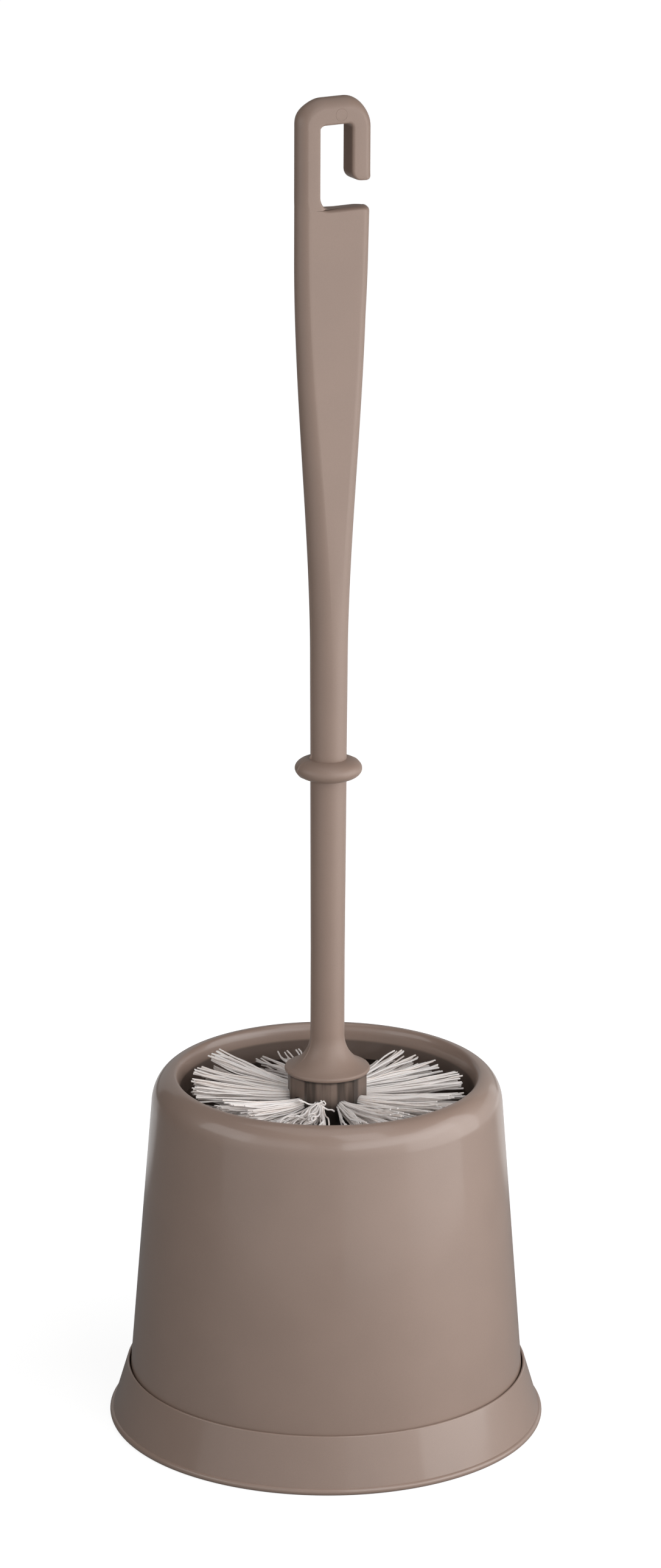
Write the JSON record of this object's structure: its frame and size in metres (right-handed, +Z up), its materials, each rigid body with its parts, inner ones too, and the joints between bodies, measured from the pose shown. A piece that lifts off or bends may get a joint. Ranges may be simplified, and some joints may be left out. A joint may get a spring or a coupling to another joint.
{
  "type": "toilet brush holder",
  "caption": "Tapered round cup with a rolled rim on a flared foot, holding a long-handled brush with an open hook, a drip ring and a tufted head.",
  "frame": {"origin": "centre of the foot's underside, on the surface that the holder stands on", "axes": "+Z up along the common axis of cup and brush, the handle's flat faces look along -Y and +Y, and the hook opens towards +X"},
  "size_m": [0.13, 0.13, 0.3978],
  "materials": {
    "taupe_plastic": "semi-gloss moulded polypropylene, warm taupe, with a very fine moulded grain and faint parting lines",
    "core_plastic": "the same warm taupe polypropylene, as moulded, duller",
    "bristle": "bundles of crimped off-white polypropylene fibres with cut ends",
    "anchor_wire": "plain drawn square wire"
  },
  "bodies": {
    "holder": {"holder_base": "taupe_plastic", "holder_shell": "taupe_plastic"},
    "brush": {"handle": "taupe_plastic", "brush_core": "core_plastic", "tuft_anchors": "anchor_wire", "end_tufts": "bristle", "tuft_row1_col1": "bristle", "tuft_row1_col2": "bristle", "tuft_row1_col3": "bristle", "tuft_row1_col4": "bristle", "tuft_row1_col5": "bristle", "tuft_row1_col6": "bristle", "tuft_row1_col7": "bristle", "tuft_row1_col8": "bristle", "tuft_row1_col9": "bristle", "tuft_row1_col10": "bristle", "tuft_row2_col1": "bristle", "tuft_row2_col2": "bristle", "tuft_row2_col3": "bristle", "tuft_row2_col4": "bristle", "tuft_row2_col5": "bristle", "tuft_row2_col6": "bristle", "tuft_row2_col7": "bristle", "tuft_row2_col8": "bristle", "tuft_row2_col9": "bristle", "tuft_row2_col10": "bristle", "tuft_row3_col1": "bristle", "tuft_row3_col2": "bristle", "tuft_row3_col3": "bristle", "tuft_row3_col4": "bristle", "tuft_row3_col5": "bristle", "tuft_row3_col6": "bristle", "tuft_row3_col7": "bristle", "tuft_row3_col8": "bristle", "tuft_row3_col9": "bristle", "tuft_row3_col10": "bristle", "tuft_row4_col1": "bristle", "tuft_row4_col2": "bristle", "tuft_row4_col3": "bristle", "tuft_row4_col4": "bristle", "tuft_row4_col5": "bristle", "tuft_row4_col6": "bristle", "tuft_row4_col7": "bristle", "tuft_row4_col8": "bristle", "tuft_row4_col9": "bristle", "tuft_row4_col10": "bristle", "tuft_row5_col1": "bristle", "tuft_row5_col2": "bristle", "tuft_row5_col3": "bristle", "tuft_row5_col4": "bristle", "tuft_row5_col5": "bristle", "tuft_row5_col6": "bristle", "tuft_row5_col7": "bristle", "tuft_row5_col8": "bristle", "tuft_row5_col9": "bristle", "tuft_row5_col10": "bristle"}
  },
  "joints": [
    {"name": "brush_lift", "type": "slide", "parent": "holder", "child": "brush", "axis": [0, 0, 1], "range_m": [0, 0.12]}
  ]
}
